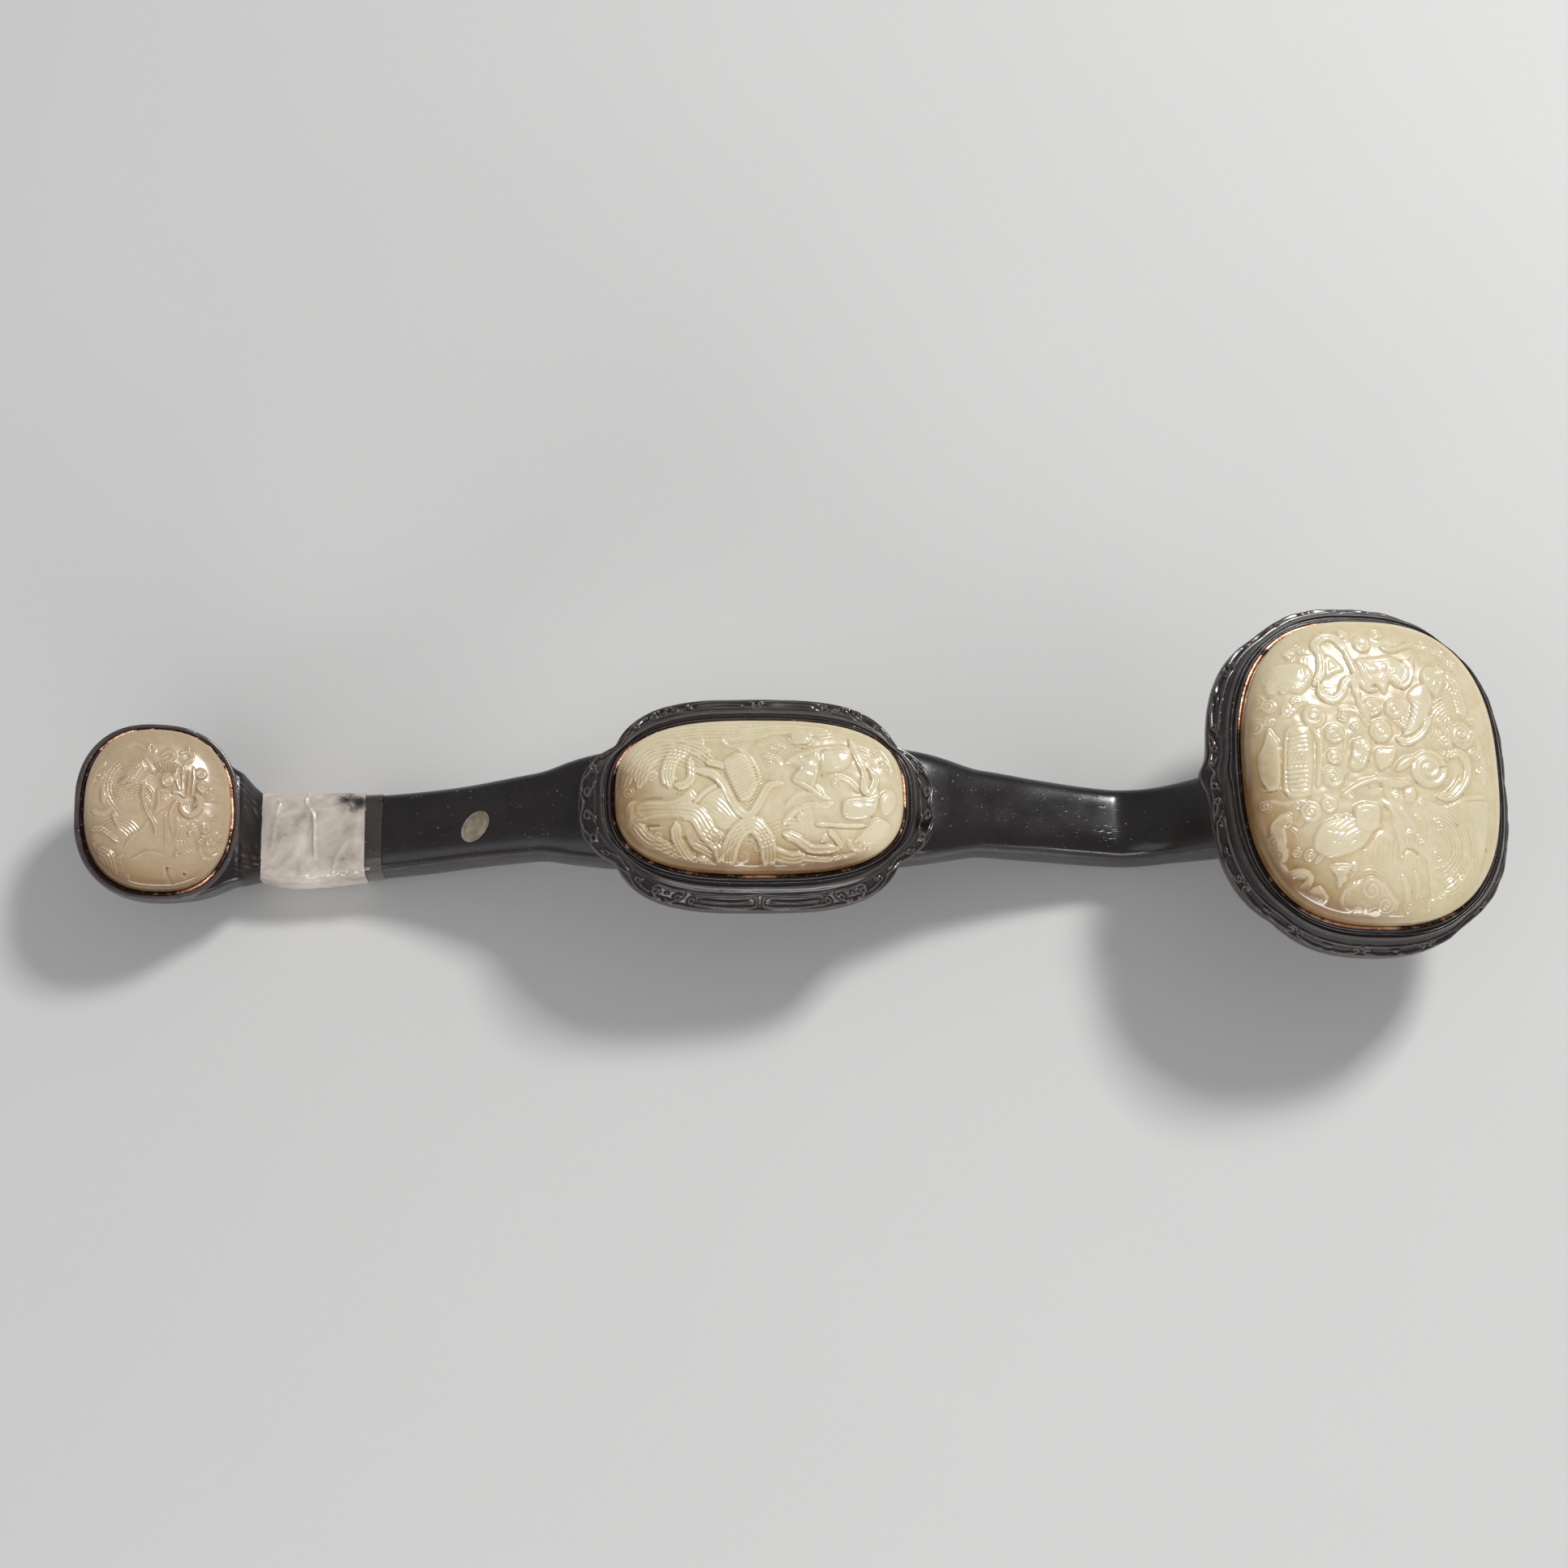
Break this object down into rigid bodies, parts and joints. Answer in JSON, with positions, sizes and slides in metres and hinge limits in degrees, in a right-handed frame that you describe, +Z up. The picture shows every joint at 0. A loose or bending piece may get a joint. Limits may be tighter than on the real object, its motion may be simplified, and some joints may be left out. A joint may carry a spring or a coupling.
{
  "type": "ruyi scepter",
  "caption": "Arched dark hardwood ruyi scepter inlaid with domed pale jade plaques at the head, middle and tail, with a taped repair near the tail.",
  "frame": {"origin": "centre of the scepter's footprint on the surface it rests on", "axes": "+X from the tail to the head, +Y across the shaft, +Z up, away from the surface and out of the plaques' faces"},
  "size_m": [0.4874, 0.1218, 0.083],
  "materials": {
    "wood": "hand-rubbed dark hardwood with worn edges and dust in the grain",
    "jade": "polished pale celadon jade, carved in low relief, slightly translucent",
    "warm_jade": "polished warm beige jade, carved in low relief",
    "copper": "worn copper strip with gilt residue",
    "putty": "dry setting putty",
    "dowel_wood": "plain pale dowel",
    "clear_tape": "clear adhesive tape over dark wood",
    "tape": "crumpled milky adhesive tape",
    "label": "aged bare paper label"
  },
  "bodies": {
    "root": {"tail_section": "wood", "left_shaft": "wood", "mid_mount": "wood", "right_shaft": "wood", "head_mount": "wood", "tail_plaque": "warm_jade", "mid_plaque": "jade", "head_plaque": "jade", "tail_fillet": "copper", "mid_fillet": "copper", "head_fillet": "copper", "tail_bed": "putty", "mid_bed": "putty", "head_bed": "putty", "repair_dowel": "dowel_wood", "tape_inner_lap": "clear_tape", "tape_outer_lap": "tape", "oval_label": "label"}
  },
  "joints": []
}
